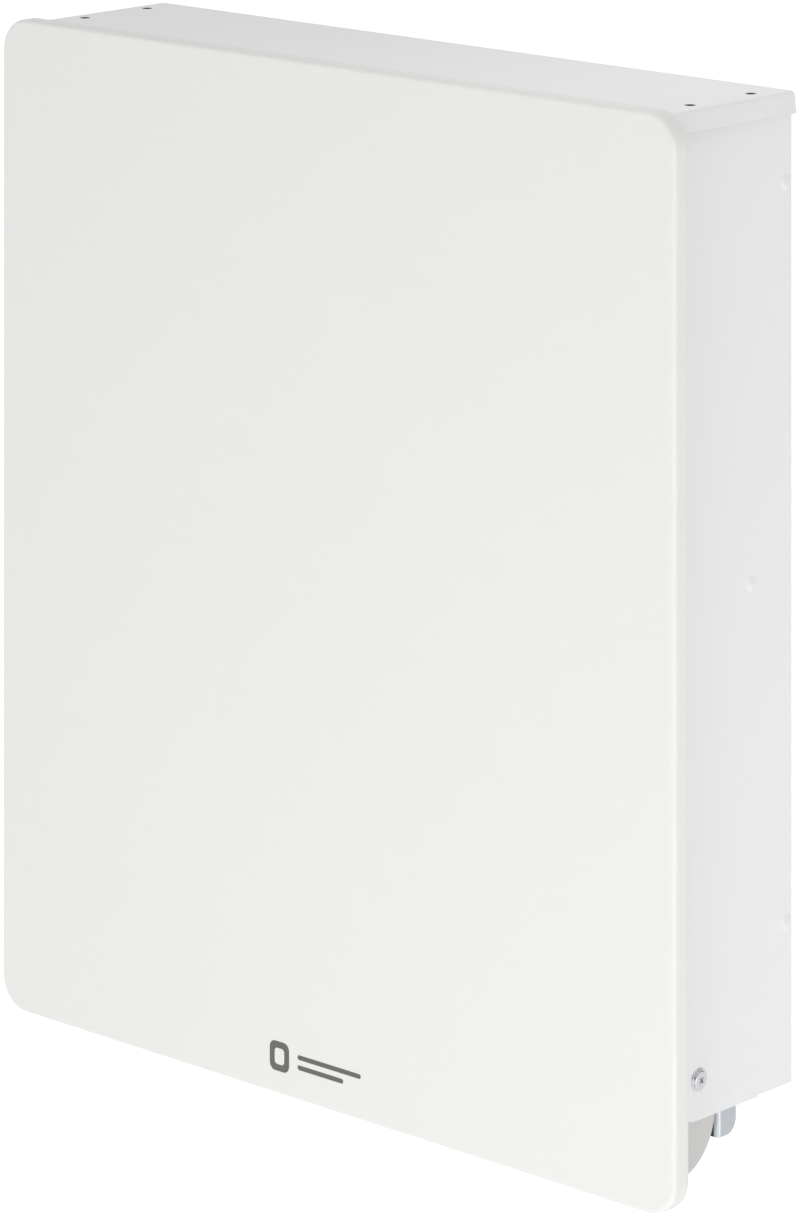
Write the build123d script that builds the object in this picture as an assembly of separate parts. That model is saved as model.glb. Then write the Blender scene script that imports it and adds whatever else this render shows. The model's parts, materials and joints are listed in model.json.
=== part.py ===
from build123d import *
import math
import os

# Wall-hung folding changing table: a shallow steel box on the wall, closed by
# a full-size flap that hinges low on two side bolts and folds down level.
# Units are millimetres. X runs left to right, -Y is the front, +Z is up.
# The wall is the plane Y = 0. Heights are measured up from the lower edge of
# the closed flap; write_node() then moves every piece down by FIXING_HEIGHT,
# so the origin is the centre of the wall fixing pattern.

# Whole object
DEPTH = 144.8
FLAP_WIDTH = 619.0
FLAP_HEIGHT = 700.0
FLAP_THICKNESS = 15.4
FLAP_CORNER = 23.0
FLAP_EDGE = 3.0
SHEET = 1.5
FIXING_HEIGHT = 380.0
FIXING_SPACING = 440.0
FIXING_HOLE = 4.0

# Wall box
BOX_HALF = 288.1
BOX_BOTTOM = 47.0
BOX_REAR_BOTTOM = 48.0
BOX_STEP_Y = -34.8
COVER_HALF = 292.8
COVER_FLARE = 2.0
COVER_TOP = 696.6
COVER_FLANGE = 14.35
COVER_FRONT = -127.4
COVER_NOTCH = 3.5
COVER_SCREW_X = 279.0
COVER_SCREW_Y = (-92.8, -30.8)
COVER_SCREW_HEAD = 3.6
COVER_SCREW_SHANK = 1.7
BACK_TOP = 693.0
BACK_RETURN = 12.0
SEAT_X = 268.0
SIDE_FLANGE_X = 272.0
SIDE_FLANGE_BOTTOM = 205.0
FLOOR_HALF = 273.0
FLOOR_WIDE_Y = -29.0
FLOOR_RETURN = 14.0
WELD_SPOTS = ((-6.0, 637.0), (-41.5, 381.4), (-6.3, 154.0))
WELD_RADIUS = 5.6
WELD_HEIGHT = 1.0

# Hinge, measured from the flap's inner face and lower edge
FLAP_FRONT = -DEPTH
FLAP_BACK = FLAP_FRONT + FLAP_THICKNESS
PIVOT_Y = FLAP_BACK + 34.3
PIVOT_Z = 73.0
NOSE_RADIUS = 29.0
BOLT_RADIUS = 4.0
BOLT_FLANGE = 7.25
BOLT_HEAD = 6.15
BOLT_HEIGHT = 2.4
BUSH_RADIUS = 6.0
RUNNING_GAP = 0.05
RIVET_RADIUS = 2.9
THROUGH_HINGE = (255.0, 295.0)
EAR_OUTER = 285.6
EAR_THICKNESS = 3.0
EAR_RADIUS = 38.0
EAR_CENTRE = (FLAP_BACK + 15.4, 50.0)
BRACKET_FOOT_X = 258.0
BRACKET_FOOT_Z = (58.0, 146.0)
BRACKET_SCREW_X = 267.0
BRACKET_SCREW_Z = (68.0, 136.0)
BRACKET_SCREW_RADIUS = 2.5
ARM_OUTER = 282.0
ARM_THICKNESS = 3.7
ARM_INNER = ARM_OUTER - ARM_THICKNESS
ARM_RIVET = (PIVOT_Y + 12.0, PIVOT_Z - 14.0)
TIP_Y = (PIVOT_Y + 27.1, PIVOT_Y + 45.1)
TIP_Z = (27.0, 54.0)
TIP_CORNER = 9.5
PAD_THICKNESS = 3.6
PAD_PROUD = 1.5
ROLLED_EDGE = 3.0
BOX_FRONT = FLAP_BACK + 4.0

# Gas struts: upper stud on the box, lower stud on the flap bracket
STRUT_X = 271.0
UPPER_STUD = (-41.5, 381.4)
LOWER_STUD = (PIVOT_Y - 14.0, PIVOT_Z + 58.0)
STUD_RADIUS = 4.0
TUBE_RADIUS = 9.0
TUBE_BORE = 7.4
TUBE_START = 14.0
TUBE_END = 230.0
ROD_RADIUS = 4.0
ROD_LENGTH = 118.0
EYE_RADIUS = 7.0
EYE_WIDTH = 9.0
NECK_RADIUS = 5.5

# Storage between the mat and the wall
RACK_HALF = 256.5
RACK_FRONT = -78.8
RACK_BOTTOM = 130.0
RACK_TOP = 680.0
SHELF_HEIGHTS = (130.0, 310.0, 490.0)
SHELF_LIP = 26.0
RAIL_Y = RACK_FRONT + 6.0
RAIL_HEIGHT = 62.0
RAIL_RADIUS = 3.0

# Changing mat and strap
MAT_HALF = 247.0
MAT_BOTTOM = 112.0
MAT_TOP = 652.0
MAT_BASE = 24.0
MAT_SIDE = 42.0
MAT_CREST = 36.0
MAT_SLOPE = 72.0
STRAP_HEIGHT = 330.0
STRAP_WIDTH = 38.0
STRAP_THICKNESS = 1.8
BUCKLE_HALF = 31.9
BUCKLE_HEIGHT = 46.0
BUCKLE_THICKNESS = 9.0
STRAP_INNER_END = 32.0

# Catches at the top
CATCH_X = 200.0
CATCH_Z = 676.0
CATCH_HALF = 22.0
MAGNET_HALF = 15.9
BUMPER_X = 140.0
BUMPER_RADIUS = 5.0


def block(x, y, z):
    """A box between the two values of each axis."""
    size = (x[1] - x[0], y[1] - y[0], z[1] - z[0])
    centre = ((x[0] + x[1]) / 2, (y[0] + y[1]) / 2, (z[0] + z[1]) / 2)
    return Pos(*centre) * Box(*size)


def pin_x(x, y, z, radius):
    """A round bar along X between two X values."""
    return Pos((x[0] + x[1]) / 2, y, z) * Rot(0, 90, 0) * Cylinder(radius, x[1] - x[0])


def pin_y(x, y, z, radius):
    """A round bar along Y between two Y values."""
    return Pos(x, (y[0] + y[1]) / 2, z) * Rot(90, 0, 0) * Cylinder(radius, y[1] - y[0])


def pin_z(x, y, z, radius):
    """A round bar along Z between two Z values."""
    return Pos(x, y, (z[0] + z[1]) / 2) * Cylinder(radius, z[1] - z[0])


def side_plate(face, x):
    """A face drawn in Y and Z, thickened between two X values."""
    return Pos(x[0], 0, 0) * extrude(Plane.YZ * face, x[1] - x[0])


def dome(radius, height):
    """A shallow spherical dome that stands on the plane Z = 0."""
    sphere = (radius**2 + height**2) / (2 * height)
    half_angle = math.asin(radius / sphere) / 2
    middle = (sphere * math.sin(half_angle), height - sphere + sphere * math.cos(half_angle))
    arc = ThreePointArc((radius, 0), middle, (0, height))
    face = make_face(Line((0, 0), (radius, 0)) + arc + Line((0, height), (0, 0)))
    return revolve(Plane.XZ * face, Axis.Z)


def dome_x(x, y, z, radius, height):
    """A shallow dome that stands on the plane X = x and bulges towards +X."""
    return Pos(x, y, z) * Rot(0, 90, 0) * dome(radius, height)


def dome_y(x, y, z, radius, height):
    """A shallow dome that stands on the plane Y = y and bulges towards +Y."""
    return Pos(x, y, z) * Rot(-90, 0, 0) * dome(radius, height)


def other_side(shape):
    """The left-hand copy of a right-hand piece."""
    return mirror(shape, about=Plane.YZ)


def write_node(name, *solids):
    """Write one named node, with heights measured from the fixing centre."""
    placed = [Pos(0, 0, -FIXING_HEIGHT) * solid for shape in solids for solid in shape.solids()]
    node = placed[0] if len(placed) == 1 else Compound(children=placed)
    export_step(node, f"parts/{name}.step")


def write_both(name, *solids):
    """Write the right-hand solids and their left-hand twins as one node."""
    write_node(name, *solids, *[other_side(solid) for solid in solids])


def write_pair(name, *solids):
    """Write the right-hand node and its mirrored left-hand twin."""
    write_node(f"{name}_right", *solids)
    write_node(f"{name}_left", *[other_side(solid) for solid in solids])


# Wall box ------------------------------------------------------------------

def back_plate():
    half = BOX_HALF - SHEET - 0.1
    upright = (BOX_REAR_BOTTOM + 2, BACK_TOP)
    plate = block((-half, half), (-SHEET, 0), upright)
    for side in (-1, 1):
        edge = sorted((side * half, side * (half - SHEET)))
        plate += block(edge, (-BACK_RETURN, -SHEET), upright)
    plate = fillet(plate.edges().filter_by(Axis.Z).group_by(Axis.Y)[-1], 1.0)
    for side in (-1, 1):
        for level in (-1, 1):
            spot = (side * FIXING_SPACING / 2, FIXING_HEIGHT + level * FIXING_SPACING / 2)
            plate -= pin_y(spot[0], (-SHEET - 1, 1), spot[1], FIXING_HOLE)
    return plate


def side_panel():
    outline = Polyline(
        (0, BOX_REAR_BOTTOM),
        (BOX_STEP_Y, BOX_REAR_BOTTOM),
        (BOX_STEP_Y, BOX_BOTTOM),
        (BOX_FRONT, BOX_BOTTOM),
        (BOX_FRONT, COVER_TOP - SHEET),
        (0, COVER_TOP - SHEET),
        close=True,
    )
    face = make_face(outline)
    nose = face.vertices().filter_by(lambda v: v.Y < BOX_BOTTOM + 0.5).sort_by(Axis.X)[0]
    face = fillet(nose, NOSE_RADIUS)
    inner = BOX_HALF - SHEET
    panel = side_plate(face, (inner, BOX_HALF))
    top = COVER_TOP - SHEET
    panel += block((SEAT_X, inner), (BOX_FRONT + 2, -2), (top - SHEET, top))
    panel += block((SIDE_FLANGE_X, inner), (BOX_FRONT, BOX_FRONT + SHEET), (SIDE_FLANGE_BOTTOM, top - 4))
    panel -= pin_x((inner - 1, BOX_HALF + 1), PIVOT_Y, PIVOT_Z, BOLT_RADIUS + 0.1)
    for y in COVER_SCREW_Y:
        panel -= pin_z(COVER_SCREW_X, y, (top - 3, top + 1), COVER_SCREW_SHANK + 0.1)
    for y, z in WELD_SPOTS:
        panel += dome_x(BOX_HALF, y, z, WELD_RADIUS, WELD_HEIGHT)
    return panel


def flared_block(half, y, z):
    """A block whose sides lean out by the cover's flare over the height of its flange."""
    slope = COVER_FLARE / COVER_FLANGE
    low_half = half + slope * (COVER_TOP - z[0])
    top_half = half + slope * (COVER_TOP - z[1])
    section = Polyline((-low_half, z[0]), (-top_half, z[1]), (top_half, z[1]), (low_half, z[0]), close=True)
    return Pos(0, y[1], 0) * extrude(Plane.XZ * make_face(section), y[1] - y[0])


def side_corners(shape, y):
    """The upright edges of a flared block that lie at one Y value."""
    def is_corner(edge):
        upright = abs((edge @ 1).Z - (edge @ 0).Z) > COVER_FLANGE / 2
        return upright and abs(edge.center().Y - y) < 0.1
    return shape.edges().filter_by(is_corner)


def top_cover():
    low = COVER_TOP - COVER_FLANGE
    shell = flared_block(COVER_HALF, (COVER_FRONT, 0), (low, COVER_TOP))
    shell = fillet(side_corners(shell, COVER_FRONT) + side_corners(shell, 0), 4.5)
    shell = fillet(shell.faces().sort_by(Axis.Z)[-1].edges(), 2.6)
    hollow = flared_block(COVER_HALF - SHEET, (COVER_FRONT + SHEET, 2), (low - 1, COVER_TOP - SHEET))
    shell -= fillet(side_corners(hollow, COVER_FRONT + SHEET), 3.0)
    corner = Polyline((-COVER_NOTCH - 1, low - 1), (1, low + COVER_NOTCH + 1), (1, low - 1), close=True)
    notch = side_plate(make_face(corner), (BOX_HALF + 1, COVER_HALF + COVER_FLARE + 1))
    shell -= notch + other_side(notch)
    for side in (-1, 1):
        for y in COVER_SCREW_Y:
            hole = pin_z(side * COVER_SCREW_X, y, (COVER_TOP - 3, COVER_TOP + 1), COVER_SCREW_SHANK + 0.4)
            sink = pin_z(side * COVER_SCREW_X, y, (COVER_TOP - 1.0, COVER_TOP + 1), COVER_SCREW_HEAD + 0.1)
            shell -= hole + sink
    return shell


def top_cover_screws():
    screws = []
    for side in (-1, 1):
        for y in COVER_SCREW_Y:
            x = side * COVER_SCREW_X
            screw = pin_z(x, y, (COVER_TOP - 9, COVER_TOP - 1), COVER_SCREW_SHANK)
            screw += pin_z(x, y, (COVER_TOP - 1.0, COVER_TOP - 0.1), COVER_SCREW_HEAD)
            screw -= pin_z(x, y, (COVER_TOP - 0.7, COVER_TOP + 1), 2.0)
            screws.append(screw)
    return screws


def bottom_plate():
    """The floor of the box. It is narrow in front, to leave room for the hinges and stop arms."""
    low = (BOX_BOTTOM + 1, BOX_BOTTOM + 1 + SHEET)
    upright = (low[1], low[1] + FLOOR_RETURN)
    rear = -SHEET - 0.2
    wide = BOX_HALF - SHEET - 0.2
    plate = block((-FLOOR_HALF, FLOOR_HALF), (PIVOT_Y - 10, rear), low)
    plate += block((-wide, wide), (FLOOR_WIDE_Y, rear), low)
    plate += block((-FLOOR_HALF, FLOOR_HALF), (rear - SHEET, rear), upright)
    for side in (-1, 1):
        tab = sorted((side * wide, side * (wide - SHEET)))
        plate += block(tab, (FLOOR_WIDE_Y, FLOOR_WIDE_Y + 15), upright)
    return plate


# Along the bolt from the box wall inwards: washer, bracket and arm on the bush, washer, nut.
# THROUGH_HINGE spans all of them, so a bar of that length cuts right through.
BUSH_START = ARM_INNER - 0.6
BUSH_END = EAR_OUTER + 0.1
WASHER = 1.6
WASHER_RADIUS = 9.0
NUT = 8.0
NUT_RADIUS = 7.5


def hinge_bolt():
    """A flanged pan head with a cross recess, on a plain shank."""
    top = BOX_HALF + BOLT_HEIGHT
    pan = pin_x((BOX_HALF, top), PIVOT_Y, PIVOT_Z, BOLT_HEAD)
    pan = fillet(pan.faces().sort_by(Axis.X)[-1].edges(), 0.9)
    flange = pin_x((BOX_HALF, BOX_HALF + 1.0), PIVOT_Y, PIVOT_Z, BOLT_FLANGE)
    flange = fillet(flange.faces().sort_by(Axis.X)[-1].edges(), 0.5)
    shank = pin_x((BUSH_START - WASHER - NUT - 3, BOX_HALF), PIVOT_Y, PIVOT_Z, BOLT_RADIUS)
    bolt = pan + flange + shank
    for angle in (45, 135):
        bolt -= Pos(top, PIVOT_Y, PIVOT_Z) * Rot(angle, 0, 0) * Box(3.0, 4.6, 1.2)
    return bolt


def hinge_bush():
    body = pin_x((BUSH_START, BUSH_END), PIVOT_Y, PIVOT_Z, BUSH_RADIUS)
    return body - pin_x(THROUGH_HINGE, PIVOT_Y, PIVOT_Z, BOLT_RADIUS + 0.02)


def hinge_washers():
    outer = pin_x((BUSH_END, BOX_HALF - SHEET), PIVOT_Y, PIVOT_Z, WASHER_RADIUS)
    inner = pin_x((BUSH_START - WASHER, BUSH_START), PIVOT_Y, PIVOT_Z, WASHER_RADIUS)
    bore = pin_x(THROUGH_HINGE, PIVOT_Y, PIVOT_Z, BOLT_RADIUS + 0.1)
    return [outer - bore, inner - bore]


def hinge_nut():
    hexagon = Pos(PIVOT_Y, PIVOT_Z) * RegularPolygon(NUT_RADIUS, 6)
    nut = side_plate(hexagon, (BUSH_START - WASHER - NUT, BUSH_START - WASHER))
    return nut - pin_x(THROUGH_HINGE, PIVOT_Y, PIVOT_Z, BOLT_RADIUS + 0.02)


# The stop arm's tip turns to lie level: its rubber buffer then rests under this bracket
STOP_Y = (PIVOT_Y + 20.0, PIVOT_Y + 45.0)
STOP_Z = PIVOT_Z + TIP_Y[1] - PIVOT_Y + PAD_PROUD + 0.2


def stop_bracket():
    inner = BOX_HALF - SHEET
    shelf = block((273.0, inner), STOP_Y, (STOP_Z, STOP_Z + 2.5))
    leg = block((inner - 2.5, inner), STOP_Y, (STOP_Z, STOP_Z + 34))
    bracket = shelf + leg
    return fillet(bracket.edges().filter_by(Axis.X).group_by(Axis.Z)[-1], 5.0)


def stop_buffer():
    """A rubber pad on the inner face of the stop arm's tip, proud of its rear edge."""
    width = TIP_Y[1] + PAD_PROUD - TIP_Y[0]
    pad = Pos(TIP_Y[0] + width / 2, sum(TIP_Z) / 2) * Rectangle(width, TIP_Z[1] - TIP_Z[0])
    pad = fillet(low_rear_corner(pad), TIP_CORNER)
    return side_plate(pad, (ARM_INNER - PAD_THICKNESS, ARM_INNER))


def strut_stud():
    inner = BOX_HALF - SHEET
    y, z = UPPER_STUD
    plate = block((inner - 2, inner), (y - 14, y + 14), (z - 16, z + 16))
    plate = fillet(plate.edges().filter_by(Axis.X), 4.0)
    stud = pin_x((STRUT_X - 5.5, inner - 2), y, z, STUD_RADIUS)
    return plate + stud


# Storage rack --------------------------------------------------------------

def rack_side():
    side = block((RACK_HALF - SHEET, RACK_HALF), (RACK_FRONT, -SHEET), (RACK_BOTTOM, RACK_TOP))
    for height in SHELF_HEIGHTS:
        side -= pin_x((250, 260), RAIL_Y, height + RAIL_HEIGHT, RAIL_RADIUS + 0.05)
    return side


def shelf(height):
    half = RACK_HALF - SHEET - 0.1
    tray = block((-half, half), (RACK_FRONT, -SHEET - 0.1), (height, height + SHEET))
    tray += block((-half, half), (RACK_FRONT, RACK_FRONT + SHEET), (height, height + SHELF_LIP))
    tray += block((-half, half), (-SHEET * 2 - 0.1, -SHEET - 0.1), (height, height + 12))
    return tray


def shelf_rails():
    return [
        pin_x((-RACK_HALF, RACK_HALF), RAIL_Y, height + RAIL_HEIGHT, RAIL_RADIUS)
        for height in SHELF_HEIGHTS
    ]


# Magnetic catches ----------------------------------------------------------

def catch_housings():
    housings = []
    for side in (-1, 1):
        x = (side * CATCH_X - CATCH_HALF, side * CATCH_X + CATCH_HALF)
        body = block(x, (FLAP_BACK + 5.5, FLAP_BACK + 22), (CATCH_Z - 8, CATCH_Z + 8))
        body += block(x, (FLAP_BACK + 5.5, FLAP_BACK + 30), (CATCH_Z + 8, COVER_TOP - SHEET))
        slot = block((x[0] + 6, x[1] - 6), (FLAP_BACK + 1, FLAP_BACK + 16), (CATCH_Z - 4, CATCH_Z + 4))
        housings.append(body - slot)
    return housings


def catch_magnets():
    magnets = []
    for side in (-1, 1):
        x = (side * CATCH_X - MAGNET_HALF, side * CATCH_X + MAGNET_HALF)
        magnets.append(block(x, (FLAP_BACK + 2.1, FLAP_BACK + 16), (CATCH_Z - 3.9, CATCH_Z + 3.9)))
    return magnets


def catch_strikes():
    """Steel plates with round ends, on the flap opposite the magnets."""
    strikes = []
    for side in (-1, 1):
        x = side * CATCH_X
        plate = block((x - 21, x + 21), (FLAP_BACK, FLAP_BACK + 1.8), (CATCH_Z - 7, CATCH_Z + 7))
        strikes.append(fillet(plate.edges().filter_by(Axis.Y), 6.9))
    return strikes


def closing_bumpers():
    bumpers = []
    for side in (-1, 1):
        pad = pin_y(side * BUMPER_X, (FLAP_BACK, COVER_FRONT - 0.1), COVER_TOP - 8.0, BUMPER_RADIUS)
        bumpers.append(pad)
    return bumpers


# Flap ----------------------------------------------------------------------

def flap_board():
    outline = Pos(0, FLAP_HEIGHT / 2) * RectangleRounded(FLAP_WIDTH, FLAP_HEIGHT, FLAP_CORNER)
    board = extrude(Plane.XZ.offset(-FLAP_BACK) * outline, FLAP_THICKNESS)
    rims = board.faces().sort_by(Axis.Y)[0].edges() + board.faces().sort_by(Axis.Y)[-1].edges()
    return fillet(rims, FLAP_EDGE)


def hinge_bracket():
    """A pressed bracket: a round ear that carries the pivot and the strut, and a foot on the flap."""
    ear = Pos(*EAR_CENTRE) * Circle(EAR_RADIUS)
    ear += Pos(PIVOT_Y, PIVOT_Z) * Circle(15.0)
    ear += Pos((FLAP_BACK + PIVOT_Y) / 2, 98.0) * Rectangle(PIVOT_Y - FLAP_BACK, 96.0)
    ear += Pos(LOWER_STUD[0], LOWER_STUD[1]) * Circle(12.0)
    ear &= Pos(FLAP_BACK + 50, 80) * Rectangle(100, 160)
    x = (EAR_OUTER - EAR_THICKNESS, EAR_OUTER)
    bracket = side_plate(ear, x)
    foot = (FLAP_BACK, FLAP_BACK + EAR_THICKNESS)
    bracket += block((BRACKET_FOOT_X, EAR_OUTER), foot, BRACKET_FOOT_Z)
    bracket -= pin_x(THROUGH_HINGE, PIVOT_Y, PIVOT_Z, BUSH_RADIUS + RUNNING_GAP)
    bracket -= pin_x(THROUGH_HINGE, *ARM_RIVET, RIVET_RADIUS + RUNNING_GAP)
    for z in BRACKET_SCREW_Z:
        bracket -= pin_y(BRACKET_SCREW_X, (foot[0] - 1, foot[1] + 1), z, BRACKET_SCREW_RADIUS + 0.1)
    return bracket


def bracket_screws():
    screws = []
    top = FLAP_BACK + EAR_THICKNESS
    for z in BRACKET_SCREW_Z:
        shank = pin_y(BRACKET_SCREW_X, (FLAP_BACK, top), z, BRACKET_SCREW_RADIUS)
        screws.append(shank + dome_y(BRACKET_SCREW_X, top, z, 4.6, 2.4))
    return screws


def low_rear_corner(face):
    """The corner of a rectangle in Y and Z that lies lowest and furthest back."""
    return face.vertices().sort_by(Axis.Y)[0:2].sort_by(Axis.X)[-1]


def stop_arm():
    """A pressed arm riveted to the bracket, whose tip hangs below the box and has a rolled front edge."""
    tip = Pos(sum(TIP_Y) / 2, sum(TIP_Z) / 2) * Rectangle(TIP_Y[1] - TIP_Y[0], TIP_Z[1] - TIP_Z[0])
    tip = fillet(low_rear_corner(tip), TIP_CORNER)
    web = make_face(Polyline(
        (PIVOT_Y - 6, PIVOT_Z - 11),
        (TIP_Y[0], TIP_Z[1] - 4),
        (TIP_Y[1], TIP_Z[1]),
        (PIVOT_Y + 11, PIVOT_Z + 6),
        close=True,
    ))
    face = tip + web + Pos(PIVOT_Y, PIVOT_Z) * Circle(12.5)
    arm = side_plate(face, (ARM_INNER, ARM_OUTER))

    def is_rolled(edge):
        middle = edge.center()
        return abs(middle.X - ARM_OUTER) < 0.01 and abs(middle.Y - TIP_Y[0]) < 0.01 and middle.Z < TIP_Z[1]

    arm = fillet(arm.edges().filter_by(is_rolled), ROLLED_EDGE)
    arm -= pin_x(THROUGH_HINGE, *ARM_RIVET, RIVET_RADIUS + RUNNING_GAP)
    return arm - pin_x(THROUGH_HINGE, PIVOT_Y, PIVOT_Z, BUSH_RADIUS + RUNNING_GAP)


def arm_rivet():
    shank = pin_x((ARM_INNER, EAR_OUTER), *ARM_RIVET, RIVET_RADIUS)
    return shank + pin_x((ARM_INNER - 1.2, ARM_INNER), *ARM_RIVET, 5.0)


# Gas struts, drawn along the line from the upper stud to the lower stud -----

STRUT_LENGTH = math.dist(UPPER_STUD, LOWER_STUD)
STRUT_FRAME = Plane(
    origin=(STRUT_X, UPPER_STUD[0], UPPER_STUD[1]),
    x_dir=(1, 0, 0),
    z_dir=(0, LOWER_STUD[0] - UPPER_STUD[0], LOWER_STUD[1] - UPPER_STUD[1]),
).location


def along_strut(z, radius):
    """A round bar on the strut's line between two distances from the upper stud."""
    return Pos(0, 0, (z[0] + z[1]) / 2) * Cylinder(radius, z[1] - z[0])


def strut_tube():
    tube = along_strut((TUBE_START, TUBE_END), TUBE_RADIUS)
    tube -= along_strut((TUBE_START + 4, TUBE_END + 1), TUBE_BORE)
    tube += along_strut((0, TUBE_START + 1), NECK_RADIUS) + Rot(0, 90, 0) * Cylinder(EYE_RADIUS, EYE_WIDTH)
    tube -= Rot(0, 90, 0) * Cylinder(STUD_RADIUS + RUNNING_GAP, 20.0)
    return STRUT_FRAME * tube


def strut_gland():
    gland = along_strut((TUBE_END - 12, TUBE_END), TUBE_BORE - 0.05)
    gland += along_strut((TUBE_END, TUBE_END + 3), TUBE_RADIUS - 0.6)
    return STRUT_FRAME * (gland - along_strut((0, TUBE_END + 10), ROD_RADIUS + RUNNING_GAP))


ROD_END = STRUT_LENGTH - EYE_RADIUS
ROD_START = ROD_END - ROD_LENGTH


def strut_rod():
    return STRUT_FRAME * along_strut((ROD_START, ROD_END), ROD_RADIUS)


def strut_piston():
    return STRUT_FRAME * along_strut((ROD_START - 6, ROD_START), TUBE_BORE - 0.1)


def strut_end():
    """The rod's eye, with the pin that points at the flap bracket and stops just short of it."""
    eye = Pos(0, 0, STRUT_LENGTH) * Rot(0, 90, 0) * Cylinder(EYE_RADIUS, EYE_WIDTH)
    neck = along_strut((ROD_END - 10, ROD_END + 2), NECK_RADIUS)
    pin = Pos(5.0, 0, STRUT_LENGTH) * Rot(0, 90, 0) * Cylinder(STUD_RADIUS, 12.2)
    fitting = eye + neck + pin
    return STRUT_FRAME * (fitting - along_strut((ROD_END - 11, ROD_END), ROD_RADIUS))


def strut_clip():
    return pin_x((STRUT_X - 7.0, STRUT_X - 5.6), *UPPER_STUD, 7.0)


# Mat and strap -------------------------------------------------------------

def mat_outline(grow):
    """The Y of the mat's flat middle and raised sides, and its half width, grown outwards."""
    base = FLAP_BACK + MAT_BASE + grow
    crest = FLAP_BACK + MAT_SIDE + grow
    edge = MAT_HALF + grow
    return base, crest, edge


def changing_mat():
    base, crest, edge = mat_outline(0)
    foot = FLAP_BACK + 0.3
    section = make_face(Polyline(
        (-edge, foot), (-edge, crest), (-edge + MAT_CREST, crest), (-edge + MAT_SLOPE, base),
        (edge - MAT_SLOPE, base), (edge - MAT_CREST, crest), (edge, crest), (edge, foot),
        close=True,
    ))
    section = fillet([v for v in section.vertices() if v.Y > crest - 1], 12.0)
    return Pos(0, 0, MAT_BOTTOM) * extrude(section, MAT_TOP - MAT_BOTTOM)


def strap_webbing():
    """A band over the mat, from its anchor beside the raised side to the buckle."""
    base, crest, edge = mat_outline(0.4)
    foot = FLAP_BACK + 3.2
    slope = edge - MAT_SLOPE - 1
    inner = [
        (edge, foot), (edge, crest), (edge - MAT_CREST, crest),
        (slope, base), (STRAP_INNER_END, base),
    ]
    outer = [
        (STRAP_INNER_END, base + STRAP_THICKNESS), (slope, base + STRAP_THICKNESS),
        (edge - MAT_CREST, crest + STRAP_THICKNESS), (edge + STRAP_THICKNESS, crest + STRAP_THICKNESS),
        (edge + STRAP_THICKNESS, foot),
    ]
    band = make_face(Polyline(*inner, *outer, close=True))
    return Pos(0, 0, STRAP_HEIGHT - STRAP_WIDTH / 2) * extrude(band, STRAP_WIDTH)


def strap_anchor():
    z = (STRAP_HEIGHT - 24, STRAP_HEIGHT + 24)
    foot = block((MAT_HALF + 0.3, MAT_HALF + 12.3), (FLAP_BACK, FLAP_BACK + 3.0), z)
    return fillet(foot.edges().filter_by(Axis.Y), 3.0)


def buckle_half(x):
    base, _, _ = mat_outline(0.5)
    upright = (STRAP_HEIGHT - BUCKLE_HEIGHT / 2, STRAP_HEIGHT + BUCKLE_HEIGHT / 2)
    body = block(x, (base, base + BUCKLE_THICKNESS), upright)
    body = fillet(body.edges().filter_by(Axis.Y), 4.0)
    return fillet(body.faces().sort_by(Axis.Y)[-1].edges(), 2.0)


def mat_studs():
    studs = []
    for x in (-210.0, 210.0):
        for z in (MAT_BOTTOM - 12.0, MAT_TOP + 8.0):
            disc = pin_y(x, (FLAP_BACK, FLAP_BACK + 2.0), z, 7.0)
            studs.append(disc + dome_y(x, FLAP_BACK + 2.0, z, 4.0, 1.6))
    return studs


def build():
    os.makedirs("parts", exist_ok=True)
    write_node("back_plate", back_plate())
    write_pair("side_panel", side_panel())
    write_node("top_cover", top_cover())
    write_node("top_cover_screws", *top_cover_screws())
    write_node("bottom_plate", bottom_plate())
    write_pair("hinge_bolt", hinge_bolt())
    write_pair("hinge_bush", hinge_bush())
    write_both("hinge_washers", *hinge_washers())
    write_pair("hinge_nut", hinge_nut())
    write_pair("stop_bracket", stop_bracket())
    write_pair("stop_buffer", stop_buffer())
    write_pair("strut_stud", strut_stud())
    write_both("strut_clips", strut_clip())
    write_pair("rack_side", rack_side())
    write_node("lower_shelf", shelf(SHELF_HEIGHTS[0]))
    write_node("middle_shelf", shelf(SHELF_HEIGHTS[1]))
    write_node("upper_shelf", shelf(SHELF_HEIGHTS[2]))
    write_node("shelf_rails", *shelf_rails())
    write_node("catch_housings", *catch_housings())
    write_node("catch_magnets", *catch_magnets())
    write_node("catch_strikes", *catch_strikes())
    write_node("closing_bumpers", *closing_bumpers())
    write_node("flap_board", flap_board())
    write_pair("hinge_bracket", hinge_bracket())
    write_pair("bracket_screws", *bracket_screws())
    write_pair("stop_arm", stop_arm())
    write_pair("arm_rivet", arm_rivet())
    write_pair("strut_tube", strut_tube())
    write_pair("strut_gland", strut_gland())
    write_pair("strut_rod", strut_rod())
    write_pair("strut_piston", strut_piston())
    write_pair("strut_end", strut_end())
    write_node("changing_mat", changing_mat())
    write_node("mat_studs", *mat_studs())
    write_pair("strap_webbing", strap_webbing())
    write_pair("strap_anchor", strap_anchor())
    write_node("buckle_socket", buckle_half((-BUCKLE_HALF, -0.1)))
    write_node("buckle_tongue", buckle_half((0.1, BUCKLE_HALF)))


build()
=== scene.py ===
"""Looks of a wall-hung folding changing table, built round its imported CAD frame."""
import json
import math

import bmesh
import bpy
from mathutils import Matrix, Vector


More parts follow.
